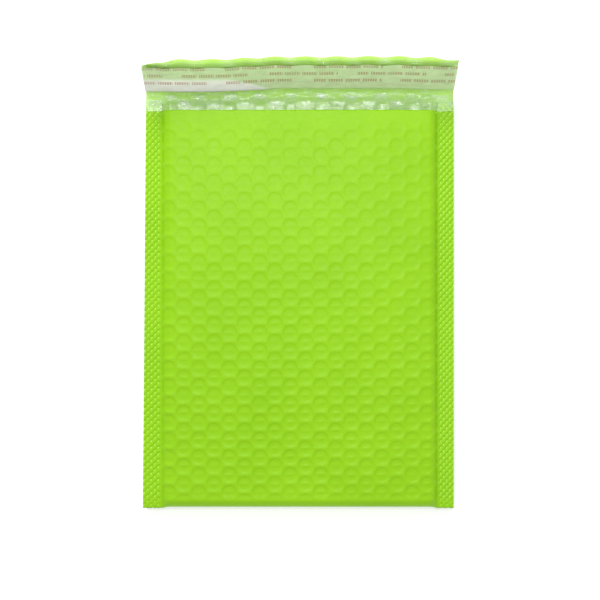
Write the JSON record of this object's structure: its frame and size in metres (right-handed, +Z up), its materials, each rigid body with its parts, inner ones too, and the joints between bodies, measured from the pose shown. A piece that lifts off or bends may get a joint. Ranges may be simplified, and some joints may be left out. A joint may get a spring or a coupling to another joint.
{
  "type": "padded envelope",
  "caption": "Flat film mailer lined with clear bubble sheet, sealed at the bottom and both sides, with an open mouth and a standing flap that carries a glue band under a peel strip.",
  "frame": {"origin": "middle of the footprint, on the surface that the envelope lies on", "axes": "+Z up out of the front wall, +Y along the bag from its bottom fold to its flap, +X to the right as seen from the front"},
  "size_m": [0.2002, 0.2858, 0.0365],
  "materials": {
    "film": "semi-gloss green polythene film",
    "bubble_sheet": "glossy clear bubble film",
    "hot_melt": "clear tacky hot-melt glue",
    "liner": "translucent satin release film"
  },
  "bodies": {
    "root": {"outer_film": "film", "bubble_lining": "bubble_sheet", "adhesive_strip": "hot_melt", "release_liner": "liner"}
  },
  "joints": []
}
